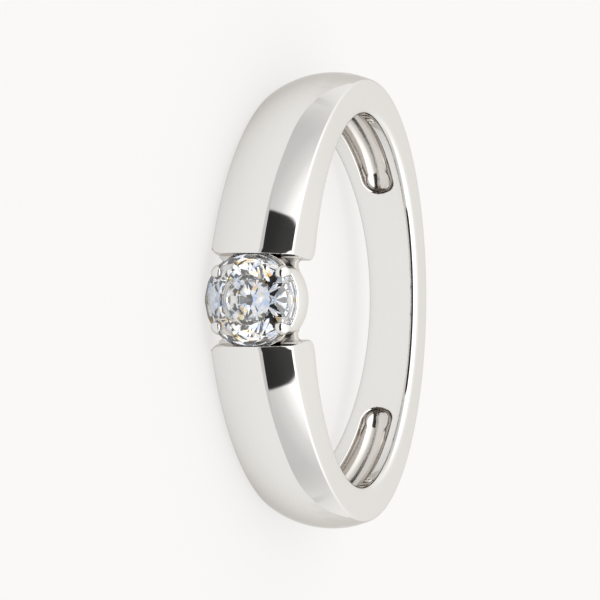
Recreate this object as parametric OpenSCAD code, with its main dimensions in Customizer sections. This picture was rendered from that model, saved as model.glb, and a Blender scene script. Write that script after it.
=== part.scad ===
// A tension-look solitaire ring: a white gold band with wide shoulders and one round brilliant.
// It lies on its side with the finger axis upright. Sizes are millimetres.
// X is left to right, Y is front to back, Z is up, and the stone faces the front, -Y.

/* [Finger hole] */
// Inside diameter of the band, ring size 54
bore_d = 17.2; // [14:0.1:22]

/* [Band] */
// Top of the dome at the sides of the ring, from the finger axis
crest = 10.57; // [9.5:0.05:13]
// Radius of the dome across the band
dome_r = 3.7; // [2.5:0.1:8]
// How far each shoulder's own middle lies past the finger axis, which lifts it towards the stone
shoulder_shift = 2.6; // [1:0.1:4]
// Half-width of the band over its middle, at the back
upper_half_back = 1.1; // [0.8:0.05:2]
// Half-width of the band over its middle, at the shoulders
upper_half_front = 1.93; // [1.2:0.01:3]
// Half-width of the band under its middle, at the shoulders
lower_half_front = 2.06; // [1.2:0.01:3]
// Radius of the sweep that narrows the lower face towards the back
lower_sweep = 49; // [30:1:200]

/* [Shoulders] */
// Lean of the polished facet along each shoulder's upper edge, at the sides of the ring
facet_angle = 28.5; // [15:0.1:35]
// How much flatter that facet gets towards the stone
facet_tilt = 8.5; // [0:0.1:12]
// Half of the gap between the shoulders, at the stone's level
gap_half_outer = 2.09; // [1.5:0.01:3]
// Half of that gap at the inner corners
gap_half_inner = 1.83; // [1:0.01:3]
// Distance of the inner corners from the finger axis
inner_corner = 9.4; // [9:0.1:10.5]
// Round of the inner corners
corner_round = 0.8; // [0.2:0.1:1.2]
// Floor of the hollow under each shoulder, from the finger axis
hollow_floor = 9.4; // [9:0.05:9.8]

/* [Stone] */
// Girdle diameter, about a third of a carat
stone_d = 4.38; // [3:0.01:6.5]
// Distance of the girdle's middle from the finger axis
stone_level = 11.94; // [10:0.01:14]
// Table width as a share of the girdle
table_share = 0.57; // [0.5:0.01:0.65]
// Angle of the main crown facets
crown_angle = 34.5; // [30:0.5:38]
// Angle of the main pavilion facets
pavilion_angle = 40.8; // [38:0.2:43]

/* [Setting] */
// Outside diameter of the collet under the stone
collet_d = 4.46; // [3:0.01:7]
// Distance of the collet's open foot from the finger axis
collet_foot = 10.25; // [9.8:0.05:11]
// Round bar that each claw is bent from
claw_d = 0.5; // [0.3:0.02:1]
// Play between the stone and the metal
play = 0.02; // [0.01:0.01:0.1]

/* [Hidden] */
$fn = 96;
bore_r = bore_d / 2;
stone_r = stone_d / 2;
collet_r = collet_d / 2;
// Stone sizes along its own axis, from the girdle's middle
girdle_half = 0.015 * stone_d;
crown_h = stone_r * (1 - table_share) * tan(crown_angle);
pavilion_h = stone_r * tan(pavilion_angle);
// The collet's side is the lowest point of the ring as it lies.
mid_z = collet_r;
// Sub-parts are drawn round the finger axis. This moves them back, so that the whole ring is
// centred on the origin between its table and its back.
axis_y = (stone_level + girdle_half + crown_h - crest) / 2;
module centred() { translate([0, axis_y, 0]) children(); }

// A domed disc round Z, the form that the band and each shoulder are cut from
module barrel(top) {
  half = 2.4;
  translate([0, 0, mid_z]) rotate_extrude() intersection() {
    union() {
      translate([0, -half]) square([top - dome_r, 2 * half]);
      translate([top - dome_r, 0]) circle(dome_r);
    }
    translate([0, -half]) square([top + 1, 2 * half]);
  }
}

// One shoulder's disc, pushed sideways
module shoulder_disc(side) {
  translate([side * shoulder_shift, 0, 0]) barrel(crest + shoulder_shift);
}

// Half-widths of the band at a distance y behind the finger axis
turn = 8;
end_y = 10.1;
fall = (upper_half_front - upper_half_back) / (turn + end_y);
function upper_half(y) = upper_half_front - (y + turn) * fall;

// The band's outline seen from the side: flat above, and swept narrower below towards the back
module side_outline() {
  sweep_from = -0.5;
  rotate([90, 0, 90]) translate([0, mid_z, -15]) linear_extrude(30) difference() {
    polygon([[-15, -lower_half_front], [-15, upper_half_front + 0.04], [-turn, upper_half_front],
             [13, upper_half(13)], [13, -lower_half_front]]);
    difference() {
      translate([sweep_from, -lower_half_front - 1]) square([14, 4]);
      translate([sweep_from, lower_sweep - lower_half_front]) circle(lower_sweep);
      translate([sweep_from - 1, 0]) square([15, 4]);
    }
  }
}

// What the polished facet takes off a shoulder: all that is outside a leaning cone
module facet_cut(side) {
  level = crest + shoulder_shift + 0.5;
  slope = tan(facet_angle);
  translate([side * shoulder_shift, -0.5, mid_z]) rotate([facet_tilt, 0, 0]) rotate_extrude() polygon([
    [level + slope, -1], [level + 8, -1], [level + 8, 5], [level - slope * 5, 5]]);
}

// The closed ring before it is bored: two shoulder discs in front, one disc behind
module blank() {
  difference() {
    intersection() {
      union() {
        intersection() {
          shoulder_disc(1);
          shoulder_disc(-1);
          translate([-15, -15, mid_z - 4]) cube([30, 15, 8]);
        }
        intersection() {
          barrel(crest);
          translate([-15, 0, mid_z - 4]) cube([30, 15, 8]);
        }
      }
      side_outline();
    }
    facet_cut(1);
    facet_cut(-1);
  }
}

// The hollow under each shoulder: a pocket that tapers towards the back and ends in a round
module hollows() {
  front = 62;
  back = 49.5;
  end_r = 0.78;
  end_z = mid_z - 0.11;
  intersection() {
    translate([0, 0, mid_z - 4]) cylinder(h = 8, r = hollow_floor);
    union() {
      intersection() {
        for (side = [0, 1]) mirror([side, 0, 0]) translate([0, 0, mid_z - 4]) linear_extrude(8) polygon([
          [0, 0], [12 * cos(front), -12 * sin(front)], [14, -12], [14, 8], [12 * cos(back), 12 * sin(back)]]);
        rotate([90, 0, 90]) translate([0, mid_z, -12]) linear_extrude(24)
          polygon([[-9, -1.5], [-9, 1.2], [7.4, 0.61], [7.4, -0.81]]);
      }
      for (side = [0, 1]) mirror([side, 0, 0]) rotate([0, 0, back]) translate([7, 0, end_z])
        rotate([0, 90, 0]) cylinder(h = 4, r = end_r);
    }
  }
}

// Turns a shape drawn round Z so that it stands on the stone's own axis, facing the front
module on_stone_axis() { translate([0, 0, mid_z]) rotate([90, 0, 0]) children(); }

// The gap between the shoulders, closing a little towards the finger
gap_slope = (gap_half_outer - gap_half_inner) / (stone_level - inner_corner);
function gap_half(level) = gap_half_inner + (level - inner_corner) * gap_slope;
module gap() {
  near = 7; far = 14;
  translate([0, 0, mid_z - 4]) linear_extrude(8) polygon([
    [-gap_half(near), -near], [gap_half(near), -near], [gap_half(far), -far], [-gap_half(far), -far]]);
}

// What is taken off the inner corners to round them
module corner_rounds() {
  mid = gap_half(bore_r + corner_round / 2) + corner_round;
  level = sqrt((bore_r + corner_round)^2 - mid^2);
  for (side = [-1, 1]) translate([0, 0, mid_z - 4]) linear_extrude(8) difference() {
    polygon([[side * mid, -level], [side * mid * 0.9, -level * 0.9], [side * mid * 0.5, -level * 0.9],
             [side * mid * 0.5, -level]]);
    translate([side * mid, -level]) circle(corner_round);
  }
}

// The collet: a ring with a cone inside for the stone's underside
module collet() {
  on_stone_axis() rotate_extrude() polygon([
    [1.15, collet_foot], [collet_r - 0.12, collet_foot], [collet_r, collet_foot + 0.12],
    [collet_r, stone_level - girdle_half - 0.1], [1.9, stone_level - girdle_half - 0.1],
    [1.15, collet_foot + 0.75]]);
}

// Two webs that solder the collet to the shoulders, with rounded inner corners
module webs() {
  fillet = 0.36;
  face = gap_half(collet_foot);
  out = sqrt((collet_r + fillet)^2 - (face - fillet)^2);
  // Where a fillet leaves the collet, as a share of the way to the fillet's middle
  leave = collet_r / (collet_r + fillet);
  for (side = [0, 1]) mirror([side, 0, 0]) translate([0, -collet_foot, mid_z])
    rotate([90, 0, 0]) linear_extrude(0.55) difference() {
      polygon([[1, -1], [(face - fillet) * leave, -out * leave], [face - fillet, -out], [face, -1.9],
               [face + 0.25, -1.8], [face + 0.25, 1.8], [face, 1.9], [face - fillet, out],
               [(face - fillet) * leave, out * leave], [1, 1]]);
      circle(1.5);
      for (end = [-1, 1]) translate([face - fillet, end * out]) circle(fillet);
    }
}

// Four claws: a bar up the collet's side and a round-ended bar bent in over the crown
module claws() {
  bar_r = collet_r - 0.08;
  tip_r = 1.95;
  lean = crown_angle * 0.8;
  top = stone_level + 0.06;
  bead_r = claw_d / 2;
  reach = (bar_r - tip_r) / cos(lean);
  for (q = [51, 129, 231, 309]) on_stone_axis() rotate([0, 0, q]) {
    translate([bar_r, 0, collet_foot + 0.2]) cylinder(h = top - collet_foot - 0.2, d = claw_d * 0.92);
    translate([bar_r, 0, top]) rotate([0, lean - 90, 0]) rotate_extrude() intersection() {
      union() {
        circle(bead_r);
        square([bead_r, reach]);
        translate([0, reach]) circle(bead_r);
      }
      translate([0, -1]) square([1, reach + 2]);
    }
  }
}

// Room for the stone, a little wider than it all round. The crown's facets stand out of its cone
// between their middles, so there is more room over the crown.
module stone_room() {
  low = stone_level - girdle_half;
  high = stone_level + girdle_half;
  on_stone_axis() rotate_extrude() polygon([
    [0, low - pavilion_h - play * 1.6], [stone_r + play, low - play * 0.6], [stone_r + play, high + play],
    [stone_r * table_share + play, high + crown_h + play * 3.5], [stone_r * table_share + play, high + crown_h + 1],
    [0, high + crown_h + 1]]);
}

// The band with its shoulders, collet and claws, cast and soldered as one piece of white gold
module band() color("Gainsboro") centred() difference() {
  union() {
    difference() {
      blank();
      gap();
      hollows();
      corner_rounds();
      translate([0, 0, mid_z - 4]) rotate([0, 0, -90]) cylinder(h = 8, r = bore_r);
    }
    webs();
    collet();
    claws();
  }
  stone_room();
}

// The round brilliant: a table, 32 crown facets, 24 pavilion facets and a faceted girdle.
// Each ring of corners goes round in steps of 11.25 degrees.
table_r = stone_r * table_share;
star_r = table_r + 0.55 * (stone_r - table_r);
lower_r = 0.23 * stone_r;
star_h = tan(crown_angle) * (stone_r - star_r * cos(22.5));
lower_h = tan(pavilion_angle) * (stone_r - lower_r * cos(22.5));
// Where the girdle dips between two facets' corners
function dip(h, r) = h / (stone_r - r) * stone_r * (1 / cos(11.25) - 1);
function corner(q, r, h) = [r * cos(q), r * sin(q), h];
module stone() color("AliceBlue") centred() on_stone_axis() translate([0, 0, stone_level]) {
  e = 22.5;
  // 0 to 7 table, 8 to 15 stars, 16 to 47 girdle top, 48 to 79 girdle foot, 80 to 87 pavilion, 88 culet
  corners = concat(
    [for (k = [0 : 7]) corner(45 * k, table_r, girdle_half + crown_h)],
    [for (k = [0 : 7]) corner(45 * k + e, star_r, girdle_half + star_h)],
    [for (j = [0 : 31]) corner(11.25 * j, stone_r, girdle_half - (j % 2) * dip(star_h, star_r))],
    [for (j = [0 : 31]) corner(11.25 * j, stone_r, -girdle_half + (j % 2) * dip(lower_h, lower_r))],
    [for (k = [0 : 7]) corner(45 * k + e, lower_r, -girdle_half - lower_h)],
    [[0, 0, -girdle_half - pavilion_h]]);
  faces = concat(
    [[for (k = [7 : -1 : 0]) k]],
    [for (k = [0 : 7]) [k, (k + 1) % 8, 8 + k]],
    [for (k = [0 : 7]) [k, 8 + k, 16 + 4 * k, 8 + (k + 7) % 8]],
    [for (k = [0 : 7]) [8 + k, 18 + 4 * k, 17 + 4 * k, 16 + 4 * k]],
    [for (k = [0 : 7]) [8 + k, 16 + (4 * k + 4) % 32, 19 + 4 * k, 18 + 4 * k]],
    [for (j = [0 : 31]) [16 + j, 16 + (j + 1) % 32, 48 + (j + 1) % 32, 48 + j]],
    [for (k = [0 : 7]) [80 + k, 48 + 4 * k, 49 + 4 * k, 50 + 4 * k]],
    [for (k = [0 : 7]) [80 + k, 50 + 4 * k, 51 + 4 * k, 48 + (4 * k + 4) % 32]],
    [for (k = [0 : 7]) [88, 80 + (k + 7) % 8, 48 + 4 * k, 80 + k]]);
  polyhedron(corners, faces);
}

band();
stone();
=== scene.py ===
# %% [markdown]
# # A tension-look solitaire ring
# The ring lies on its side: a polished white gold band whose two shoulders stop short of each
# other, and a round brilliant held between them in a small clawed collet. This lesson builds
# the band as one lofted skin, cuts the hollows under its shoulders, turns the collet, bends
# the claws and cuts the stone facet by facet, and then lights it all like a light tent.

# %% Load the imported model
import math
import bpy
from mathutils import Matrix, Vector


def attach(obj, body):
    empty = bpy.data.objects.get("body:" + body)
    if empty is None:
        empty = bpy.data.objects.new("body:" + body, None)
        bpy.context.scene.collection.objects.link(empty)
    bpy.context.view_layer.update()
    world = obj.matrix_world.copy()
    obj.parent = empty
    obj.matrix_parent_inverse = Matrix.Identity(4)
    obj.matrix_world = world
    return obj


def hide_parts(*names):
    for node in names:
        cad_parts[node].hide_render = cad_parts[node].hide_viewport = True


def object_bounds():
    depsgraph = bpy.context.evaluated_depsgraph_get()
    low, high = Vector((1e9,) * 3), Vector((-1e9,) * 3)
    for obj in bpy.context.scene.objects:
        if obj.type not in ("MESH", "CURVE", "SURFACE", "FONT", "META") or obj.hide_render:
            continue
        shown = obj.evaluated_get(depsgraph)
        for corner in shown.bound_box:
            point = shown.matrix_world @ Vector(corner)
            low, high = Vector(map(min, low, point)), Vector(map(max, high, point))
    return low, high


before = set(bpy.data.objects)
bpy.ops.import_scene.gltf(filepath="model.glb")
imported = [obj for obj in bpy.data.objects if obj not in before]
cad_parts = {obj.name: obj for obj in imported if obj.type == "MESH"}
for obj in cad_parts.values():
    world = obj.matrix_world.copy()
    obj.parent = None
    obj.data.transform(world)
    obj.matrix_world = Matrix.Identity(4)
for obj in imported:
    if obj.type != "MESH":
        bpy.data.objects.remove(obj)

cad_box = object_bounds()
print("CAD box in mm:", [[round(v * 1000, 2) for v in corner] for corner in cad_box])

# %% [markdown]
# ## The stone's sizes
# A ring of this kind is designed round its stone, so the stone's sizes come first. As on any
# round brilliant, the table's width, the crown's lean and the pavilion's lean follow from the
# width over the girdle by usual shares and angles.

# %% Sizes of the stone
STONE_LEVEL = 11.94
STONE_WIDE = 4.38
STONE_R = STONE_WIDE / 2
GIRDLE = 0.015 * STONE_WIDE
TABLE_SHARE, STAR_SHARE, LOWER_SHARE = 0.57, 0.55, 0.23
CROWN, PAVILION = math.radians(34.5), math.radians(40.8)
TABLE_R = STONE_R * TABLE_SHARE
TABLE_HIGH = GIRDLE + (STONE_R - TABLE_R) * math.tan(CROWN)
CULET_DEEP = GIRDLE + STONE_R * math.tan(PAVILION)
print("Table", round(2 * TABLE_R, 2), "mm wide, stone", round(TABLE_HIGH + CULET_DEEP, 2), "mm deep")

# %% [markdown]
# ## Names for places
# The model's frame has Z up along the finger hole and the stone at the front, -Y. A ring maker
# thinks in other words: how far out from the finger axis towards the stone, how far round to the
# side, and how high above the band's middle. One function turns those words, in millimetres, into
# the frame. The stone's table is the ring's foremost place, and the collet is as high as the ring,
# so the frame's own box gives both the finger axis and the middle.

# %% Places on the ring
MM = 0.001
AXIS_Y = STONE_LEVEL + TABLE_HIGH + cad_box[0][1] / MM
MID_Z = cad_box[1][2] / MM / 2


def place(out, side, high):
    """Millimetres towards the stone, to the side and above the band's middle, as a point in metres."""
    return Vector((-side, AXIS_Y - out, MID_Z + high)) * MM


print("Finger axis at", round(AXIS_Y, 3), "mm, band's middle at", round(MID_Z, 3), "mm")

# %% [markdown]
# ## The camera
# The photograph looks at the stone from a little to one side of the ring's plane, with the ring
# standing on edge in the picture. The ring really lies down, so the camera looks slightly
# downwards at it and is rolled by a quarter turn. The photograph is a third of a degree off the
# upright, and the camera's last small roll follows that.

# %% Camera
VIEW_UP = math.radians(18.5)
VIEW_FAR = 0.5
LAST_ROLL = math.radians(0.29)
PIXELS_PER_MM, PICTURE = 21.61, 600
# Where the finger axis is in the picture, in pixels to the right of its middle and above it
RING_X, RING_Y = 34.65, -0.3
FILM = 36
camera_data = bpy.data.cameras.new("camera")
camera = bpy.data.objects.new("camera", camera_data)
bpy.context.scene.collection.objects.link(camera)
back = Vector((0, -math.cos(VIEW_UP), math.sin(VIEW_UP)))
right = Vector((0, math.sin(VIEW_UP), math.cos(VIEW_UP)))
up = Vector((-1, 0, 0))
turn = Matrix((right, up, back)).transposed().to_4x4()
camera.matrix_world = (Matrix.Translation(place(0, 0, 0) + back * VIEW_FAR)
                       @ Matrix.Rotation(LAST_ROLL, 4, back) @ turn)
camera_data.sensor_width = FILM
camera_data.lens = PIXELS_PER_MM * VIEW_FAR / MM / PICTURE * FILM
camera_data.shift_x = -RING_X / PICTURE
camera_data.shift_y = -RING_Y / PICTURE
camera_data.clip_start = 0.01
camera_data.clip_end = 20
bpy.context.scene.camera = camera
print("Lens", round(camera_data.lens), "mm at", VIEW_FAR, "m")

# %% [markdown]
# ## The band's section
# A goldsmith's drawing of this band is a row of sections. Each has a flat face on both sides, a
# comfort round where a side meets the finger hole, and a dome outside. On the shoulders a
# polished facet runs along the upper edge and meets the dome in a crisp crease, which drifts to
# the edge and ends at the sides of the ring. The dome and both outlines are arcs, so a few
# functions give them. The shoulders' dome is drawn from a centre that lies to the side of the
# finger axis, which is what makes the ring's front flatter than its back.

# %% The dome
BORE_R = 8.6
CREST = 10.564
DOME_R = 3.7
SHOULDER_SHIFT = 2.6
ROLL, ROLL_HIGH = 0.07, 0.9


def dome(angle, high):
    """Distance of the dome from the finger axis, at an angle from the stone and a height."""
    level = CREST - DOME_R + math.sqrt(DOME_R ** 2 - high ** 2)
    if angle >= 90:
        return level
    if 0 < high < ROLL_HIGH:
        # The polish rolls the dome a little towards the crease
        level -= ROLL * high ** 3
    s, c = math.sin(math.radians(angle)), math.cos(math.radians(angle))
    return -SHOULDER_SHIFT * s + math.sqrt((level + SHOULDER_SHIFT) ** 2 - (SHOULDER_SHIFT * c) ** 2)


def on_dome(angle, high):
    """The dome's point of a section at a height, as distance and height."""
    return (dome(angle, high), high)


print("Dome in mm, front, side and back:", [round(dome(a, 0), 2) for a in (15, 60, 180)])

# %% [markdown]
# The band is widest at the shoulders. Its upper side narrows evenly to the back, after a short
# eased stretch, and its lower side follows one wide arc.

# %% Widths
UPPER_HALF, NARROWING = 1.93, 0.83 / 18.1
NARROWS_FROM, EASED = 8, 2
LOWER_HALF, LOWER_ARC_R, LOWER_ARC_FROM = 2.06, 49, 0.5


def upper_half(out):
    """Half-width of the band above its middle: even at the shoulders, then narrowing to the back."""
    if out > NARROWS_FROM + EASED:
        return UPPER_HALF
    if out > NARROWS_FROM - EASED:
        return UPPER_HALF - NARROWING * (NARROWS_FROM + EASED - out) ** 2 / (4 * EASED)
    return UPPER_HALF - NARROWING * (NARROWS_FROM - out)


def lower_half(out):
    """Half-width below the middle: even at the front, then on a wide arc."""
    if out > LOWER_ARC_FROM:
        return LOWER_HALF
    return LOWER_HALF - LOWER_ARC_R + math.sqrt(LOWER_ARC_R ** 2 - (LOWER_ARC_FROM - out) ** 2)


print("Band width in mm, front, side and back:",
      [round(upper_half(o) + lower_half(o), 2) for o in (11, 0, -10)])

# %% [markdown]
# The polished facet of a shoulder is ground on a wheel, in one sweep, so it lies on a cone. The
# cone leans a little and stands a little ahead of the dome's own centre. Where a line from the
# finger axis meets it is found by halving, which is simpler to read than the exact formula.

# %% The polished facet
FACET_LEAN, FACET_SLOPE = math.radians(8.5), math.tan(math.radians(28.5))
CONE_AHEAD = 0.5
CONE_R = CREST + SHOULDER_SHIFT + CONE_AHEAD
SURELY_INSIDE, SURELY_OUTSIDE = 8.0, 13.0


def facet_level(angle, high):
    """Distance of the polished facet from the finger axis, at an angle from the stone and a height."""
    t = math.radians(angle)
    near, far = SURELY_INSIDE, SURELY_OUTSIDE
    for halving in range(24):
        r = (near + far) / 2
        out, side = r * math.cos(t) - CONE_AHEAD, r * math.sin(t) + SHOULDER_SHIFT
        across = out * math.cos(FACET_LEAN) - high * math.sin(FACET_LEAN)
        along = out * math.sin(FACET_LEAN) + high * math.cos(FACET_LEAN)
        if math.hypot(side, across) < CONE_R - FACET_SLOPE * along:
            near = r
        else:
            far = r
    return r


print("Facet's outer edge in mm:", [round(facet_level(a, UPPER_HALF), 2) for a in (15, 45, 75)])

# %% [markdown]
# The crease is the one line that isn't an arc, so it has a short table: its height above the
# middle at some angles from the stone.

# %% Where the crease runs
CREASE = [(0, 0.64), (40, 0.64), (50, 0.69), (56, 0.80), (61, 0.95), (66, 1.15), (71, 1.38), (78, 1.62),
          (180, 1.62)]


def crease(angle):
    """Height of the crease at an angle from the stone, between the table's rows."""
    for (a0, h0), (a1, h1) in zip(CREASE, CREASE[1:]):
        if angle <= a1:
            return h0 + (h1 - h0) * (angle - a0) / (a1 - a0)
    return CREASE[-1][1]


def smooth_crease(angle):
    """The same, averaged over some degrees so that the line has no corners."""
    nearby = [crease(max(0, angle + d)) for d in range(-6, 7, 2)]
    return sum(nearby) / len(nearby)


print("Crease heights:", [round(smooth_crease(a), 2) for a in (15, 45, 60, 75)])

# %% [markdown]
# Now one section as a closed row of points, each a distance from the finger axis and a height.
# Every section has the same number of points in the same order, so that the skin between them
# is made of clean four-sided faces and the crease stays on one line of edges all the way. Four
# small functions draw what a section is made of: the round of an edge, the points between two
# places, the comfort round and the facet, which swells a little, as a buffed facet does.

# %% What a section is made of
RIM_DEEP, RIM_HIGH = 0.25, 0.33
FACET_SWELL = 0.012
ROUND_STEPS, CREASE_STEPS, FACET_STEPS, DOME_STEPS = 8, 2, 12, 16
SIDE_STEPS, WALL_STEPS = 5, 10


def arc(p, q, r, radius, count):
    """Points of a round at corner q between the lines to p and r, in the section's plane."""
    p, q, r = Vector(p), Vector(q), Vector(r)
    a, b = (p - q).normalized(), (r - q).normalized()
    half = a.angle(b) / 2
    reach = radius / math.tan(half)
    middle = q + (a + b).normalized() * (radius / math.sin(half))
    start, end = q + a * reach - middle, q + b * reach - middle
    sweep = start.angle(end)
    side = (end - start * math.cos(sweep)).normalized() * radius
    return [tuple(middle + start * math.cos(sweep * i / count) + side * math.sin(sweep * i / count))
            for i in range(count + 1)]


def between(p, q, count):
    """The points that share the line from p to q into equal parts, without p and q themselves."""
    return [(p[0] + (q[0] - p[0]) * i / count, p[1] + (q[1] - p[1]) * i / count)
            for i in range(1, count)]


def comfort_round(inner, edge, way):
    """Points from the finger hole's wall to the upper side (way 1) or the lower side (way -1)."""
    turns = [math.radians(90 * i / ROUND_STEPS) for i in range(ROUND_STEPS + 1)]
    return [(inner + RIM_DEEP * (1 - math.cos(t)), edge - way * RIM_HIGH * (1 - math.sin(t))) for t in turns]


def facet_row(start, end, swell):
    """Points of the polished facet between its outer edge and the crease."""
    width = math.dist(start, end)
    out_way, high_way = (start[1] - end[1]) / width, (end[0] - start[0]) / width
    row = []
    for i, (out, high) in enumerate(between(start, end, FACET_STEPS), 1):
        t = i / FACET_STEPS
        lift = swell * 4 * t * (1 - t)
        row.append((out + lift * out_way, high + lift * high_way))
    return row


print("Points of a comfort round:", len(comfort_round(BORE_R, UPPER_HALF, 1)))

# %% One section
# Radii of the fine rounds, then how far places keep from the dome and from the edges
UPPER_EDGE, LOWER_EDGE, CREASE_EDGE = 0.13, 0.22, 0.16
NEAR_EDGE = 1.8
INSIDE_DOME, BELOW_EDGE = 0.004, 0.2
BELOW_CREASE, ABOVE_EDGE = 0.25, 0.3


def section(angle, inner):
    """The band's section at an angle from the stone, where the finger hole's wall is at inner."""
    c = math.cos(math.radians(angle))
    top_in, low_in = upper_half(inner * c), -lower_half(inner * c)
    outer = dome(angle, NEAR_EDGE)
    top, low = upper_half(outer * c), -lower_half(outer * c)
    fold = min(smooth_crease(angle), top - BELOW_EDGE)
    fold_at = on_dome(angle, fold)
    edge_at = (min(dome(angle, top) - INSIDE_DOME, facet_level(angle, top)), top)
    rim_top, rim_low = (inner + RIM_DEEP, top_in), (inner + RIM_DEEP, low_in)
    edge = arc(rim_top, edge_at, fold_at, UPPER_EDGE, ROUND_STEPS)
    sharp = arc(edge_at, fold_at, on_dome(angle, fold - BELOW_CREASE), CREASE_EDGE, CREASE_STEPS)
    under = arc(on_dome(angle, low + ABOVE_EDGE), on_dome(angle, low), rim_low, LOWER_EDGE, ROUND_STEPS)
    swell = FACET_SWELL * math.dist(fold_at, edge_at) ** 2
    start, end = sharp[-1][1], under[0][1]
    points = comfort_round(inner, top_in, 1) + between(rim_top, edge[0], SIDE_STEPS) + edge
    points += facet_row(edge[-1], sharp[0], swell) + sharp
    points += [on_dome(angle, start + (end - start) * i / DOME_STEPS) for i in range(1, DOME_STEPS)]
    points += under + between(under[-1], rim_low, SIDE_STEPS) + comfort_round(inner, low_in, -1)[::-1]
    return points + between(points[-1], points[0], WALL_STEPS)


print("Points in a section:", len(section(60, BORE_R)))

# %% [markdown]
# ## The band's skin
# The skin starts as a flat grid primitive. Each of its rows becomes one section, and the rows go
# round the finger like the hoops of a barrel. Moving, turning and scaling rows by hand can't give
# sections whose every part changes at its own rate, so the rows are laid by the functions above;
# what follows, closing the seam, cutting the ends and rounding them, is done with operators. An
# operator acts on all that is selected, so each step starts from nothing selected.

# %% Lay a grid primitive on rows of points
def deselect():
    """Nothing is selected, so that the next operator acts only on what is added."""
    if bpy.context.object and bpy.context.object.mode != "OBJECT":
        bpy.ops.object.mode_set(mode="OBJECT")
    bpy.ops.object.select_all(action="DESELECT")


def solder(touching):
    """In edit mode, merges the points that touch, turns all faces outwards and leaves edit mode."""
    bpy.ops.mesh.select_all(action="SELECT")
    bpy.ops.mesh.remove_doubles(threshold=touching)
    bpy.ops.mesh.normals_make_consistent(inside=False)
    bpy.ops.object.mode_set(mode="OBJECT")


def lay(name, rows):
    """A grid primitive whose rows lie on the given points, with touching points merged."""
    deselect()
    bpy.ops.mesh.primitive_grid_add(x_subdivisions=len(rows[0]) - 1, y_subdivisions=len(rows) - 1, size=1)
    piece = bpy.context.object
    piece.name = piece.data.name = name
    flat = [v for row in rows for point in row for v in place(*point)]
    piece.data.vertices.foreach_set("co", flat)
    bpy.ops.object.mode_set(mode="EDIT")
    solder(1e-8)
    return piece


# %% [markdown]
# Where a shoulder ends, its inner corner is a round of 0.8 mm. The finger hole's wall leaves the
# hole's circle there and follows the round until it meets the end face, so those rows are spaced
# along the round and not by degrees. Ahead of them a few rows go on past the end, to be trimmed.

# %% Rows of the band
GAP_OUTER, GAP_INNER, INNER_CORNER = 2.09, 1.83, 9.4
CORNER_R, CORNER_STARTS, CORNER_STEPS = 0.8, math.radians(-79), 32
AHEAD_ROWS, AHEAD_STEP, HOOP_STEP = 14, 0.3, 1.4
gap_slope = (GAP_OUTER - GAP_INNER) / (STONE_LEVEL - INNER_CORNER)


def gap_half(out):
    """Half-width of the gap between the shoulders at a level."""
    return GAP_INNER + (out - INNER_CORNER) * gap_slope


corner_side = gap_half(BORE_R + CORNER_R / 2) + CORNER_R
corner_out = math.sqrt((BORE_R + CORNER_R) ** 2 - corner_side ** 2)
corner_ends = math.atan2(corner_side, corner_out) - math.pi
corner = []
for i in range(CORNER_STEPS + 1):
    t = CORNER_STARTS + (corner_ends - CORNER_STARTS) * i / CORNER_STEPS
    out, side = corner_out + CORNER_R * math.cos(t), corner_side + CORNER_R * math.sin(t)
    corner.append((math.degrees(math.atan2(side, out)), math.hypot(out, side)))
ahead = [(corner[0][0] - i * AHEAD_STEP, corner[0][1]) for i in range(AHEAD_ROWS, 0, -1)]
last = corner[-1][0]
count = round((180 - last) / HOOP_STEP)
behind = [(last + (180 - last) * i / count, BORE_R) for i in range(1, count + 1)]
print("Rows before the end is trimmed:", len(ahead + corner + behind))

# %% [markdown]
# The end of a shoulder is a flat cut that leans by 6 degrees. Each line of points that runs
# round the band is trimmed where it meets that cut, and its first stretch is shared out
# evenly again, so that the rows fan from the cut into the round of the corner.

# %% Trim the rows to the end's plane
FAN_END, FAN_ROWS = len(ahead) + len(corner) + 1, 10


def hoop(angle, inner):
    """A section in its place, as points of out, side and height, closed."""
    c, s = math.cos(math.radians(angle)), math.sin(math.radians(angle))
    ring = section(angle, inner)
    return [(r * c, r * s, h) for r, h in ring + ring[:1]]


def trimmed(points):
    """One line of points round the band, from the end's plane, with its first stretch shared out."""
    past = [side - gap_half(out) for out, side, high in points]
    i = next(i for i in range(len(points)) if past[i] < 0 <= past[i + 1])
    start = i + past[i] / (past[i] - past[i + 1])
    fan = []
    for row in range(FAN_ROWS):
        u = start + (FAN_END - start) * row / FAN_ROWS
        low = int(u)
        fan.append(tuple(a + (b - a) * (u - low) for a, b in zip(points[low], points[low + 1])))
    return fan + points[FAN_END:]


hoops = [hoop(angle, inner) for angle, inner in ahead + corner + behind]
lines = [trimmed([ring[k] for ring in hoops]) for k in range(len(hoops[0]))]
half_band = [[line[i] for line in lines] for i in range(len(lines[0]))]
mirrored = [[(out, -side, high) for out, side, high in row] for row in reversed(half_band[:-1])]
band = lay("band_skin", half_band + mirrored)
print("Rows", len(half_band + mirrored), "faces", len(band.data.polygons))

# %% [markdown]
# ## The shoulders' ends
# The two open ends are closed with one flat face each. The far outer corner of each end is filed
# round in strokes, as at the bench: each stroke is a bisect whose plane touches the round, and it
# cuts only that shoulder.

# %% File the ends
FILED_R, FILED_OUT, FILED_HIGH = 0.6, 12.05, -2.0
DOWNWARDS = Vector((0, -0.317, -0.948))
FRONT_PART = -0.005


def take(piece):
    """Only this piece is selected and active, as if it were taken to the bench."""
    deselect()
    piece.select_set(True)
    bpy.context.view_layer.objects.active = piece


def edit(piece, kind):
    """Edit mode on one piece, ready to select faces or edges, with nothing in it selected."""
    take(piece)
    bpy.ops.object.mode_set(mode="EDIT")
    bpy.ops.mesh.select_mode(type=kind)
    bpy.ops.mesh.select_all(action="DESELECT")


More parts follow.
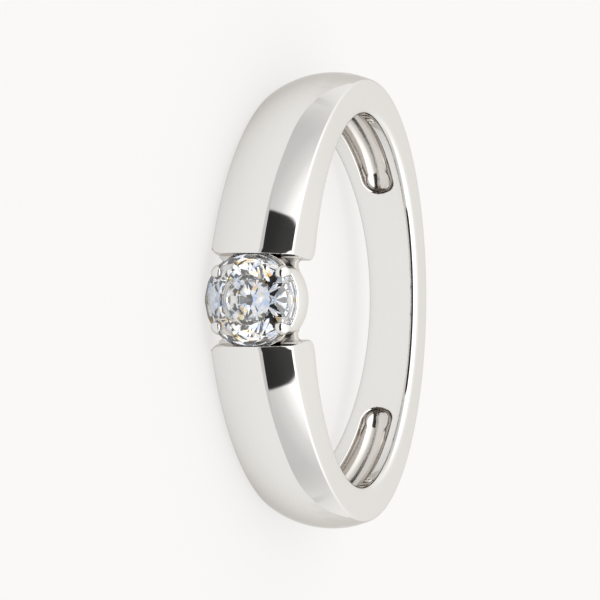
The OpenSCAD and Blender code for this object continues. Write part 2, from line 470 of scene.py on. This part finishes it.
def select_faces(piece, wanted):
    """In edit mode, selects the faces that suit."""
    bpy.ops.mesh.select_all(action="DESELECT")
    bpy.ops.object.mode_set(mode="OBJECT")
    for face in piece.data.polygons:
        face.select = wanted(face)
    bpy.ops.object.mode_set(mode="EDIT")


edit(band, "FACE")
bpy.ops.mesh.select_all(action="SELECT")
bpy.ops.mesh.fill_holes(sides=0)
bpy.ops.mesh.select_all(action="SELECT")
bpy.ops.mesh.normals_make_consistent(inside=False)
for side in (1, -1):
    into_gap = Vector((side, -gap_slope, 0)).normalized()
    corner_at = place(FILED_OUT, side * gap_half(FILED_OUT), FILED_HIGH)
    middle = corner_at - (into_gap + DOWNWARDS) * FILED_R * MM
    for degrees in range(6, 85, 6):
        t = math.radians(degrees)
        stroke = into_gap * math.cos(t) + DOWNWARDS * math.sin(t)
        select_faces(band, lambda face: face.center.y < FRONT_PART and -face.center.x * side > 0)
        bpy.ops.mesh.bisect(plane_co=middle + stroke * FILED_R * MM, plane_no=stroke,
                            use_fill=True, clear_outer=True, threshold=1e-7)
bpy.ops.object.mode_set(mode="OBJECT")
print("Faces after filing", len(band.data.polygons))

# %% [markdown]
# ## A groove for the stone
# As in a true tension setting, the ends of the shoulders close over the stone's girdle by a
# tenth of a millimetre. The groove is cut with a tool of the stone's own outline, spun from
# a few points, that is a hair larger than the stone.

# %% Cut the grooves
PLAY = 0.02
GROOVE = [(0.2, 11.2), (1.2, 11.2), (STONE_R + PLAY, 11.87), (STONE_R + PLAY, 12.02), (1.25, 12.68),
          (0.2, 12.68)]
SPIN_STEPS = 96


def spin_round_stone(name, outline):
    """Spins an outline of (radius, level) points once round the stone's axis into a closed body."""
    deselect()
    bpy.ops.mesh.primitive_circle_add(vertices=len(outline), radius=1, fill_type="NOTHING")
    body = bpy.context.object
    body.name = body.data.name = name
    for vertex, (radius, out) in zip(body.data.vertices, outline):
        vertex.co = place(out, 0, radius)
    bpy.ops.object.mode_set(mode="EDIT")
    bpy.ops.mesh.select_all(action="SELECT")
    bpy.ops.mesh.spin(steps=SPIN_STEPS, angle=2 * math.pi, center=place(0, 0, 0), axis=(0, 1, 0))
    solder(1e-7)
    return body


def use(piece, kind, **settings):
    """Adds a modifier with its settings and applies it."""
    take(piece)
    modifier = piece.modifiers.new(kind.lower(), kind)
    for key, value in settings.items():
        setattr(modifier, key, value)
    bpy.ops.object.modifier_apply(modifier=modifier.name)


def cut(piece, tool):
    """Takes a tool's shape out of a piece and puts the tool away."""
    use(piece, "BOOLEAN", operation="DIFFERENCE", object=tool, solver="EXACT")
    bpy.data.objects.remove(tool)


cut(band, spin_round_stone("groove_tool", GROOVE))
print("Faces with the grooves", len(band.data.polygons))

# %% [markdown]
# A polished edge is never a knife edge. The rim of each end gets a round of 0.04 mm, with the bevel
# operator on its edges alone. They are found as the edges whose two faces meet at more than 34
# degrees. Those that lie beside the groove are left out, because the stone sits against them.

# %% Round the rims of the ends
END_ROUND = 0.04 * MM
SHARP = math.radians(34)
GROOVE_FROM, GROOVE_TO, GROOVE_HALF = 11.6, 12.15, 0.9


def beside_groove(spot):
    """True where a point lies next to the groove, near the band's middle and the girdle's level."""
    near_middle = abs(spot.z - MID_Z * MM) <= GROOVE_HALF * MM
    return near_middle and place(GROOVE_TO, 0, 0).y <= spot.y <= place(GROOVE_FROM, 0, 0).y


def select_rims(piece):
    """In edit mode, selects the sharp edges that may be rounded, and counts them."""
    bpy.ops.mesh.select_all(action="DESELECT")
    bpy.ops.object.mode_set(mode="OBJECT")
    mesh = piece.data
    beside = {}
    for face in mesh.polygons:
        for key in face.edge_keys:
            beside.setdefault(key, []).append(face.normal.copy())
    chosen = 0
    for rim in mesh.edges:
        normals = beside.get(rim.key, ())
        middle = (mesh.vertices[rim.vertices[0]].co + mesh.vertices[rim.vertices[1]].co) / 2
        sharp = len(normals) == 2 and normals[0].angle(normals[1], 0) > SHARP
        rim.select = sharp and not beside_groove(middle)
        chosen += rim.select
    bpy.ops.object.mode_set(mode="EDIT")
    return chosen


edit(band, "EDGE")
rims = select_rims(band)
bpy.ops.mesh.bevel(offset=END_ROUND, segments=3, affect="EDGES", clamp_overlap=False)
bpy.ops.object.mode_set(mode="OBJECT")
print("Rim edges rounded", rims, "faces", len(band.data.polygons))

# %% [markdown]
# ## The hollows
# Under each shoulder the band is hollowed from inside, which saves gold. The pocket follows the
# finger hole, narrows with the band and ends in a round. Its cutter is a stack of loops: each is
# the pocket's outline drawn in towards its middle line and set deeper into the band, so that
# the mouth flares, the walls stand and the floor is a soft trough. A Boolean modifier cuts it.

# %% The hollow's outline
HOLLOW_FRONT, HOLLOW_BACK = 36, 139.5
NARROWS_AT, NARROWS_OVER = 9, 16.4
UPPER_FRONT, UPPER_BACK = 1.2, 0.61
LOWER_FRONT, LOWER_BACK = -1.5, -0.81
LONG_STEPS, END_STEPS = 40, 16


def hollow_side(angle, upper):
    """Height of the hollow's upper or lower side at an angle from the stone."""
    along = (NARROWS_AT - BORE_R * math.cos(math.radians(angle))) / NARROWS_OVER
    front, back = (UPPER_FRONT, UPPER_BACK) if upper else (LOWER_FRONT, LOWER_BACK)
    return front + (back - front) * along


def hollow_middle(angle):
    """Height of the hollow's middle line at an angle from the stone."""
    return (hollow_side(angle, True) + hollow_side(angle, False)) / 2


def long_side(upper, start, end):
    """Pairs of an outline point and its point on the middle line, as angle and height, on a side."""
    angles = [start + (end - start) * i / LONG_STEPS for i in range(LONG_STEPS + 1)]
    return [((angle, hollow_side(angle, upper)), (angle, hollow_middle(angle))) for angle in angles]


def round_end(angle, way):
    """The same pairs round one end of the hollow: way is 1 at the back and -1 at the front."""
    radius = (hollow_side(angle, True) - hollow_side(angle, False)) / 2
    middle = hollow_middle(angle)
    pairs = []
    for i in range(1, END_STEPS):
        t = math.radians(90 * way - 180 * i / END_STEPS)
        reach = math.degrees(radius * math.cos(t) / BORE_R)
        pairs.append(((angle + reach, middle + radius * math.sin(t)), (angle, middle)))
    return pairs


outline = (long_side(True, HOLLOW_FRONT, HOLLOW_BACK) + round_end(HOLLOW_BACK, 1)
           + long_side(False, HOLLOW_BACK, HOLLOW_FRONT) + round_end(HOLLOW_FRONT, -1))
print("Points round a hollow:", len(outline))

# %% [markdown]
# The cutter's loops are levels, each with the share of the outline's width that it has. Towards
# the hollow's back end the floor rises, where the milling tool ran out.

# %% Cut the hollows
WALL_LEVEL, TROUGH_DEEP = 8.67, 0.73
MOUTH = [(8.2, 0.0), (8.3, 1.10), (8.52, 1.10), (8.58, 1.085), (8.605, 1.05), (8.63, 1.02), (WALL_LEVEL, 1.0)]
TROUGH = [(WALL_LEVEL + TROUGH_DEEP * math.sin(t), math.cos(t)) for t in map(math.radians, range(6, 91, 7))]
END_REACH = 6
RISE_LENGTH, RISE = 16, 0.35


def run_out(level, angle):
    """A level of the cutter, made less deep where its angle is near the hollow's back end."""
    left = (HOLLOW_BACK + END_REACH - angle) / RISE_LENGTH
    shallow = RISE * (1 - min(1, max(0, left))) ** 2
    return level - max(0, level - WALL_LEVEL) * shallow


def cutter_row(level, share, side):
    """One loop of the cutter under the shoulder on a side, as points of out, side and height."""
    row = []
    for (a, h), (middle_a, middle_h) in outline + outline[:1]:
        angle, high = middle_a + (a - middle_a) * share, middle_h + (h - middle_h) * share
        radius, t = run_out(level, angle), math.radians(angle)
        row.append((radius * math.cos(t), side * radius * math.sin(t), high))
    return row


for side in (1, -1):
    cut(band, lay("hollow_cutter", [cutter_row(level, share, side) for level, share in MOUTH + TROUGH]))
print("Faces with the hollows", len(band.data.polygons))

# %% [markdown]
# ## The collet
# The stone sits in a collet, a short ring turned from tube with a seat cut inside. Its profile is
# a circle primitive of a few corners laid on the drawing, spun once round the stone's axis, with
# its sharp rims beveled.

# %% Turn the collet
COLLET_R, COLLET_BORE = 2.23, 1.15
COLLET_FOOT, COLLET_TOP, SEAT_FOOT = 10.25, 11.78, 11.0
RIM_WIDE, FOOT_CUT, TOP_CUT = 0.3, 0.12, 0.06
profile = [(COLLET_BORE, COLLET_FOOT), (COLLET_R - FOOT_CUT, COLLET_FOOT), (COLLET_R, COLLET_FOOT + FOOT_CUT),
           (COLLET_R, COLLET_TOP - TOP_CUT), (COLLET_R - TOP_CUT, COLLET_TOP),
           (COLLET_R - RIM_WIDE, COLLET_TOP), (COLLET_BORE, SEAT_FOOT)]
collet = spin_round_stone("collet", profile)
use(collet, "BEVEL", width=0.04 * MM, segments=3, limit_method="ANGLE", angle_limit=math.radians(25))
print("Collet faces", len(collet.data.polygons))

# %% [markdown]
# The collet is soldered to the shoulders with two small webs. A web fills the narrow place between
# the collet's round wall and a shoulder's end, and the solder draws a fillet at its top and
# bottom. It starts as a filled circle primitive whose corners are moved to that outline, and is
# extruded along the stone's axis. Its ends are sunk in the collet and in the shoulder.

# %% Solder the webs
FILLET = 0.36
WEB_FOOT, WEB_HIGH = COLLET_FOOT + 0.01, 0.55 * MM
FILLET_STEPS, FILLET_ENDS = 12, math.radians(-22)
IN_COLLET, IN_SHOULDER = (1.3, 1.5), (gap_half(COLLET_FOOT) + 0.22, 1.8)
web_face = gap_half(COLLET_FOOT) - FILLET
web_high = math.sqrt((COLLET_R + FILLET) ** 2 - web_face ** 2)
fillet_starts = math.atan2(-web_high, -web_face)
fillet_row = []
for i in range(FILLET_STEPS + 1):
    t = fillet_starts + (FILLET_ENDS - fillet_starts) * i / FILLET_STEPS
    fillet_row.append((web_face + FILLET * math.cos(t), web_high + FILLET * math.sin(t)))
upper_row = [IN_COLLET] + fillet_row + [IN_SHOULDER]
web_outline = upper_row + [(side, -high) for side, high in reversed(upper_row)]


def web(name, way):
    """The web on one side of the collet."""
    deselect()
    bpy.ops.mesh.primitive_circle_add(vertices=len(web_outline), radius=1, fill_type="NGON")
    piece = bpy.context.object
    piece.name = piece.data.name = name
    for vertex, (side, high) in zip(piece.data.vertices, web_outline):
        vertex.co = place(WEB_FOOT, way * side, high)
    bpy.ops.object.mode_set(mode="EDIT")
    bpy.ops.mesh.select_all(action="SELECT")
    bpy.ops.mesh.extrude_region_move(TRANSFORM_OT_translate={"value": (0, -WEB_HIGH, 0)})
    solder(1e-8)
    use(piece, "BEVEL", width=0.06 * MM, segments=3, limit_method="ANGLE", angle_limit=math.radians(50))
    return piece


webs = [web("web_left", 1), web("web_right", -1)]
print("Web faces", [len(piece.data.polygons) for piece in webs])

# %% [markdown]
# ## The claws
# Each claw is a bar soldered to the collet's side whose end is bent in over the crown and burnished
# to an oval bead. Rings of points follow the bar's bend, thicken towards the bead and close at its
# tip. One claw is laid and rounded, and its copies are swung round the stone's axis to the
# other three corners.

# %% The path of a claw
# Each row holds the distance from the stone's axis, the level, the half-width and the half-thickness
claw_path = [(2.1, 10.5, 0.0, 0.0), (2.1, 10.52, 0.13, 0.1), (2.1, 10.6, 0.22, 0.155),
             (2.1, 11.4, 0.25, 0.165), (2.11, 11.85, 0.29, 0.18), (2.12, 12.0, 0.3, 0.18),
             (2.1, 12.1, 0.3, 0.175), (2.05, 12.18, 0.29, 0.17)]
# The bead's rows have no level, because the bead follows the crown
BEAD = [(1.97, 0.28, 0.16), (1.89, 0.26, 0.15), (1.81, 0.22, 0.13), (1.76, 0.165, 0.1),
        (1.725, 0.1, 0.06), (1.71, 0.0, 0.0)]
SUNK = 0.85
for radius, wide, thick in BEAD:
    # On the crown each ring of points lies a little less than its own thickness above the facets
    crown = STONE_LEVEL + GIRDLE + (STONE_R - radius) * math.tan(CROWN)
    lift = thick * SUNK
    claw_path.append((radius + math.sin(CROWN) * lift, crown + math.cos(CROWN) * lift, wide, thick))
print("Rings of points in a claw:", len(claw_path))

# %% Bend the claws
CLAW_TURNS = (51, 129, 231, 309)
ROUND_CLAW = 32


def claw_ring(i, turned):
    """Ring number i of a claw that stands at a turn round the stone's axis."""
    radius, out, wide, thick = claw_path[i]
    before, after = claw_path[max(0, i - 1)], claw_path[min(len(claw_path) - 1, i + 1)]
    along = Vector((after[0] - before[0], after[1] - before[1])).normalized()
    row = []
    for j in range(ROUND_CLAW + 1):
        t = 2 * math.pi * j / ROUND_CLAW
        r = radius - along.y * thick * math.cos(t)
        w = wide * math.sin(t)
        row.append((out + along.x * thick * math.cos(t), r * math.cos(turned) - w * math.sin(turned),
                    r * math.sin(turned) + w * math.cos(turned)))
    return row


first_turn = math.radians(CLAW_TURNS[0])
first_claw = lay("claw_1", [claw_ring(i, first_turn) for i in range(len(claw_path))])
use(first_claw, "SUBSURF", levels=1, render_levels=1)
claws = [first_claw]
for number, degrees in enumerate(CLAW_TURNS[1:], 2):
    claw = first_claw.copy()
    claw.data = first_claw.data.copy()
    claw.name = claw.data.name = "claw_%d" % number
    bpy.context.scene.collection.objects.link(claw)
    swing = Matrix.Rotation(math.radians(degrees) - first_turn, 4, "Y")
    claw.data.transform(Matrix.Translation(place(0, 0, 0)) @ swing @ Matrix.Translation(-place(0, 0, 0)))
    claws.append(claw)
print("Claws", [claw.name for claw in claws])

# %% [markdown]
# ## The stone
# A round brilliant is cut one facet at a time on a flat wheel. The operator for that is bisect: a
# cylinder primitive with 32 sides is the rough girdle, and each facet is a plane that takes off
# all that is outside it and leaves a new flat face. Every facet is known by three of its corners,
# so a few radii and levels are enough for the whole stone.

# %% Corners of the facets
EIGHTH, HALF_EIGHTH = 45, 22.5
STAR_R = TABLE_R + STAR_SHARE * (STONE_R - TABLE_R)
LOWER_R = LOWER_SHARE * STONE_R
half_step = math.cos(math.radians(HALF_EIGHTH))
STAR_HIGH = GIRDLE + math.tan(CROWN) * (STONE_R - STAR_R * half_step)
LOWER_DEEP = GIRDLE + math.tan(PAVILION) * (STONE_R - LOWER_R * half_step)


def on_stone(degrees, radius, high):
    """A point of the stone by its turn, its distance from the stone's axis and its level."""
    t = math.radians(degrees)
    return place(STONE_LEVEL + high, radius * math.cos(t), radius * math.sin(t))


print("Star tips", round(STAR_HIGH, 2), "mm over the girdle's middle")

# %% Cut the brilliant
ROUGH_DEEP = 6
heart = place(STONE_LEVEL, 0, 0)
culet = on_stone(0, 0, -CULET_DEEP)


def facet(*corners):
    """Grinds the facet that goes through three corners."""
    normal = (corners[1] - corners[0]).cross(corners[2] - corners[0]).normalized()
    if normal.dot(corners[0] - heart) < 0:
        normal.negate()
    bpy.ops.mesh.select_all(action="SELECT")
    bpy.ops.mesh.bisect(plane_co=corners[0], plane_no=normal, use_fill=True, clear_outer=True,
                        threshold=1e-8)


deselect()
bpy.ops.mesh.primitive_cylinder_add(vertices=32, radius=STONE_R * MM, depth=ROUGH_DEEP * MM,
                                    location=heart, rotation=(math.pi / 2, 0, 0))
stone = bpy.context.object
stone.name = stone.data.name = "brilliant"
bpy.ops.object.transform_apply(location=True, rotation=True, scale=True)
edit(stone, "FACE")
facet(*[on_stone(degrees, 1, TABLE_HIGH) for degrees in (0, 90, 180)])
for k in range(8):
    q = EIGHTH * k
    after, before = q + HALF_EIGHTH, q - HALF_EIGHTH
    table_corner, star_tip = on_stone(q, TABLE_R, TABLE_HIGH), on_stone(after, STAR_R, STAR_HIGH)
    # The kite, the star beside it and the pavilion main under it
    facet(table_corner, star_tip, on_stone(before, STAR_R, STAR_HIGH))
    facet(table_corner, on_stone(q + EIGHTH, TABLE_R, TABLE_HIGH), star_tip)
    facet(culet, on_stone(after, LOWER_R, -LOWER_DEEP), on_stone(before, LOWER_R, -LOWER_DEEP))
    # The girdle facets, one to each side, over the girdle and under it
    for turned in (after, before):
        facet(on_stone(q, STONE_R, GIRDLE), on_stone(turned, STONE_R, GIRDLE),
              on_stone(turned, STAR_R, STAR_HIGH))
        facet(on_stone(q, STONE_R, -GIRDLE), on_stone(turned, STONE_R, -GIRDLE),
              on_stone(turned, LOWER_R, -LOWER_DEEP))
bpy.ops.object.mode_set(mode="OBJECT")
print("Stone faces", len(stone.data.polygons))

# %% [markdown]
# ## Finishes
# Colours are written as the hex values that a paint program shows, and one function turns them into
# the linear light that the shaders work in. Another adds any node with its settings and links.
# Patterns are given by how many fit on a millimetre, and the shaders count in metres.

# %% Colour and node helpers
def hex_colour(code):
    """An sRGB hex colour as linear red, green, blue and full alpha."""
    parts = [int(code[i:i + 2], 16) / 255 for i in (0, 2, 4)]
    return tuple(v / 12.92 if v <= 0.04045 else ((v + 0.055) / 1.055) ** 2.4 for v in parts) + (1,)


def add(tree, kind, sockets=(), **settings):
    """A node with its settings; a socket is (input, value) or (input, from node, its output)."""
    node = tree.nodes.new(kind)
    for key, value in settings.items():
        if key in node.inputs:
            node.inputs[key].default_value = value
        else:
            setattr(node, key, value)
    for socket, source, *output in sockets:
        if output:
            tree.links.new(source.outputs[output[0]], node.inputs[socket])
        else:
            node.inputs[socket].default_value = source
    return node


def blank(name):
    """A new node material with nothing in it, and its node tree."""
    material = bpy.data.materials.new(name)
    material.use_nodes = True
    material.node_tree.nodes.clear()
    return material, material.node_tree


print("Mid grey as linear light:", round(hex_colour("808080")[0], 3))

# %% [markdown]
# White gold is an alloy with palladium or nickel. It is polished to a mirror and plated with a
# thin layer of rhodium, which takes away its last warmth. What the eye gets is almost nothing but
# reflections, softened a very little by the polish, with hairlines that only show close up.

# %% Rhodium-plated white gold, mirror polished
HAIRLINES_PER_MM = 20
white_gold, tree = blank("white_gold_polished")
place_on = add(tree, "ShaderNodeTexCoord")
hairlines = add(tree, "ShaderNodeTexNoise", [("Vector", place_on, "Object")],
                Scale=HAIRLINES_PER_MM / MM, Detail=2.0)
softness = add(tree, "ShaderNodeMapRange", [
    ("Value", hairlines, "Fac"), ("To Min", 0.035), ("To Max", 0.065)])
relief = add(tree, "ShaderNodeBump", [("Height", hairlines, "Fac")], Strength=0.015, Distance=1e-5)
metal = add(tree, "ShaderNodeBsdfPrincipled", [
    ("Base Color", hex_colour("EBEAE8")), ("Specular Tint", hex_colour("D8D6D3")), ("Metallic", 1.0),
    ("Roughness", softness, "Result"), ("Normal", relief, "Normal")])
add(tree, "ShaderNodeOutputMaterial", [("Surface", metal, 0)])
print("Metal", white_gold.name)

# %% [markdown]
# Deep in the hollows and on the webs the gold is given a darker, warmer grey. This is painted shade
# for where shade falls in the pockets and between the collet and the shoulders. The mirror is also a little
# softer there.

# %% White gold inside the hollows, darkened with painted shade
MARKS_PER_MM = 9
# Painted shade: this gold is darker and warmer than the polished gold and stands in for the shade in the
# hollows and on the webs
painted_shade_gold, tree = blank("white_gold_painted_shade")
place_on = add(tree, "ShaderNodeTexCoord")
marks = add(tree, "ShaderNodeTexNoise", [("Vector", place_on, "Object")],
            Scale=MARKS_PER_MM / MM, Detail=2.0)
softness = add(tree, "ShaderNodeMapRange", [("Value", marks, "Fac"), ("To Min", 0.11), ("To Max", 0.16)])
metal = add(tree, "ShaderNodeBsdfPrincipled", [
    ("Base Color", hex_colour("DCD8D4")), ("Specular Tint", hex_colour("D8D6D3")), ("Metallic", 1.0),
    ("Roughness", softness, "Result")])
add(tree, "ShaderNodeOutputMaterial", [("Surface", metal, 0)])
print("Metal", painted_shade_gold.name)

# %% [markdown]
# A diamond bends light more than any other gem, so nearly all that enters through the crown comes
# back out of it as white, grey and dark facets. It also parts the colours a little. That fire is
# drawn here as faint tints of single spots, 0.3 mm wide, each with a hue by chance: most stay
# nearly clear, and a few are yellow, orange or blue. The facets then multiply them into flashes.

# %% Diamond
SPOTS_PER_MM = 3.6
DIAMOND_IOR = 2.42
FIRE = [(0.0, "FFFFFF"), (0.74, "EBF2FF"), (0.93, "FFF4D2"), (0.97, "FFDFB4")]
diamond, tree = blank("diamond_brilliant_cut")
place_on = add(tree, "ShaderNodeTexCoord")
spots = add(tree, "ShaderNodeTexVoronoi", [("Vector", place_on, "Object")], Scale=SPOTS_PER_MM / MM)
chance = add(tree, "ShaderNodeSeparateColor", [("Color", spots, "Color")])
fire = add(tree, "ShaderNodeValToRGB", [("Fac", chance, "Red")])
fire.color_ramp.interpolation = "CONSTANT"
for i, (at, code) in enumerate(FIRE):
    stop = fire.color_ramp.elements[i] if i < 2 else fire.color_ramp.elements.new(at)
    stop.position, stop.color = at, hex_colour(code)
clear = add(tree, "ShaderNodeBsdfGlass", [("Color", fire, "Color")], IOR=DIAMOND_IOR, Roughness=0.0)
add(tree, "ShaderNodeOutputMaterial", [("Surface", clear, 0)])
print("Stone", diamond.name)

# %% [markdown]
# Each piece now gets its finish. The metal's faces are shaded smooth except over edges of more
# than 28 degrees, so the crease and the rims stay crisp. The band has a second finish for its
# hollows, the darker gold with painted shade, given to the faces that lie between the mouth and the floor of
# a hollow, and weighted normals, which keep its large faces even beside the narrow rounds. The webs get the
# darker gold all over.

# %% Put the finishes on
HOLLOW_MOUTH, HOLLOW_FLOOR = 0.035, 0.82
BEYOND_FRONT, BEYOND_BACK, BEYOND_SIDE = 8, 6, 0.15
SMOOTH = math.radians(28)


def in_hollow(face):
    """True for a face of the band that is a hollow's wall or floor."""
    out, side = AXIS_Y - face.center.y / MM, -face.center.x / MM
    high = face.center.z / MM - MID_Z
    deep = math.hypot(out, side) - BORE_R
    angle = math.degrees(math.atan2(abs(side), out))
    if not HOLLOW_MOUTH < deep < HOLLOW_FLOOR:
        return False
    if not HOLLOW_FRONT - BEYOND_FRONT < angle < HOLLOW_BACK + BEYOND_BACK:
        return False
    return hollow_side(angle, False) - BEYOND_SIDE < high < hollow_side(angle, True) + BEYOND_SIDE


metal_pieces = [band, collet] + webs + claws
for piece in metal_pieces:
    piece.data.materials.clear()
    # The webs get the darker gold all over, as painted shade between the collet and the shoulders
    piece.data.materials.append(painted_shade_gold if piece in webs else white_gold)
    take(piece)
    bpy.ops.object.shade_smooth_by_angle(angle=SMOOTH)
band.data.materials.append(painted_shade_gold)
# The faces of the hollows get the darker gold, as painted shade in the pockets
for face in band.data.polygons:
    face.material_index = int(in_hollow(face))
use(band, "WEIGHTED_NORMAL", weight=60, keep_sharp=True)
stone.data.materials.clear()
stone.data.materials.append(diamond)
print("Hollow faces", sum(face.material_index for face in band.data.polygons))

# %% [markdown]
# ## Floor
# The photograph was made on white paper that is as bright as the background. The floor is plain,
# and most of its brightness is its own, so that the ring's shadow on it stays faint.

# %% Floor
deselect()
bpy.ops.mesh.primitive_plane_add(size=3, location=(0, 0, 0))
floor = bpy.context.object
floor.name = "floor"
paper, tree = blank("white_paper_sweep")
sheet = add(tree, "ShaderNodeBsdfPrincipled", [
    ("Base Color", (0.2, 0.198, 0.195, 1)), ("Emission Color", hex_colour("FFFEFC")),
    ("Emission Strength", 0.685), ("Specular IOR Level", 0.0), ("Roughness", 0.9)])
add(tree, "ShaderNodeOutputMaterial", [("Surface", sheet, 0)])
floor.data.materials.append(paper)
print("Floor", floor.name)

# %% [markdown]
# ## The light tent
# The ring was lit in a light tent: soft light from all round, a little less from low at the
# sides, and one dark place, the tent's opening round the lens. Polished metal shows little but
# what it mirrors, so the tent is drawn in the world's light by direction. The first nodes
# turn a direction into its height over the floor and its turn away from the front, in degrees.

# %% Directions in the tent
TO_DEGREES = 180 / math.pi
world = bpy.data.worlds.new("light_tent")
bpy.context.scene.world = world
world.use_nodes = True
tree = world.node_tree
tree.nodes.clear()
direction = add(tree, "ShaderNodeTexCoord")
ways = add(tree, "ShaderNodeSeparateXYZ", [("Vector", direction, "Generated")])
rise = add(tree, "ShaderNodeMath", [(0, ways, "Z")], operation="ARCSINE")
height = add(tree, "ShaderNodeMath", [(0, rise, 0), (1, TO_DEGREES)], operation="MULTIPLY")
sideways = add(tree, "ShaderNodeMath", [(0, ways, "X")], operation="ABSOLUTE")
frontways = add(tree, "ShaderNodeMath", [(0, ways, "Y"), (1, -1.0)], operation="MULTIPLY")
swing = add(tree, "ShaderNodeMath", [(0, sideways, 0), (1, frontways, 0)], operation="ARCTAN2")
from_front = add(tree, "ShaderNodeMath", [(0, swing, 0), (1, TO_DEGREES)], operation="MULTIPLY")
print("World", world.name)

# %% [markdown]
# The opening is a rectangle with round corners. Its distance from its own middle, measured
# with eighth powers, is 1 all along such a rectangle's edge, and a narrow step there turns the
# light down to almost nothing inside it.

# %% The tent's opening
OPENING_HALF_WIDE, OPENING_MIDDLE, OPENING_HALF_HIGH = 61, 17.5, 12.5
SQUARENESS = 8
OPENING_LIGHT = 0.04
across = add(tree, "ShaderNodeMath", [(0, from_front, 0), (1, OPENING_HALF_WIDE)], operation="DIVIDE")
above = add(tree, "ShaderNodeMath", [(0, height, 0), (1, OPENING_MIDDLE)], operation="SUBTRACT")
upwards = add(tree, "ShaderNodeMath", [(0, above, 0), (1, OPENING_HALF_HIGH)], operation="DIVIDE")
along = add(tree, "ShaderNodeMath", [(0, upwards, 0)], operation="ABSOLUTE")
wide_part = add(tree, "ShaderNodeMath", [(0, across, 0), (1, SQUARENESS)], operation="POWER")
high_part = add(tree, "ShaderNodeMath", [(0, along, 0), (1, SQUARENESS)], operation="POWER")
both = add(tree, "ShaderNodeMath", [(0, wide_part, 0), (1, high_part, 0)], operation="ADD")
from_middle = add(tree, "ShaderNodeMath", [(0, both, 0), (1, 1 / SQUARENESS)], operation="POWER")
opening = add(tree, "ShaderNodeMapRange", [
    ("Value", from_middle, 0), ("From Min", 0.985), ("From Max", 1.015), ("To Min", OPENING_LIGHT),
    ("To Max", 1.0)], interpolation_type="SMOOTHSTEP")
print("Opening", 2 * OPENING_HALF_WIDE, "degrees wide and", 2 * OPENING_HALF_HIGH, "high")

# %% [markdown]
# The cloth's own brightness changes with height, given here as a share of the way from the
# floor to straight above: it is darker low down and brightest half way up. Its back wall is even.

# %% The tent's cloth
CLOTH = [(0.0, 0.68), (0.06, 0.64), (0.13, 0.68), (0.2, 0.85), (0.27, 1.3), (0.5, 1.9), (1.0, 1.5)]
BACK_WALL = (1.15, 1.144, 1.13, 1)
share_up = add(tree, "ShaderNodeMath", [(0, height, 0), (1, 90)], operation="DIVIDE")
cloth = add(tree, "ShaderNodeValToRGB", [("Fac", share_up, 0)])
for i, (at, value) in enumerate(CLOTH):
    stop = cloth.color_ramp.elements[i] if i < 2 else cloth.color_ramp.elements.new(at)
    stop.position, stop.color = at, (value, value * 0.995, value * 0.985, 1)
behind_ring = add(tree, "ShaderNodeMapRange", [
    ("Value", from_front, 0), ("From Min", 100.0), ("From Max", 150.0), ("To Min", 0.0),
    ("To Max", 1.0)], interpolation_type="SMOOTHSTEP")
walls = add(tree, "ShaderNodeMix", [(0, behind_ring, 0), (6, cloth, "Color"), (7, BACK_WALL)],
            data_type="RGBA")
light = add(tree, "ShaderNodeBackground", [("Color", walls, 2), ("Strength", opening, 0)])
add(tree, "ShaderNodeOutputWorld", [("Surface", light, 0)])
bpy.context.scene.view_settings.view_transform = "Standard"
bpy.context.scene.view_settings.look = "None"
print("Cloth stops", len(cloth.color_ramp.elements))

# %% [markdown]
# ## Joined to the model
# Every piece rides on the model's one body, and the packed nodes that the pieces stand in for are hidden:
# the band's node under all the metal, and the stone's node under the brilliant.

# %% Join the pieces to the model
for piece in metal_pieces:
    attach(piece, "root")
    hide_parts("band")
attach(stone, "root")
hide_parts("stone")
print("Pieces", [piece.name for piece in metal_pieces + [stone]])
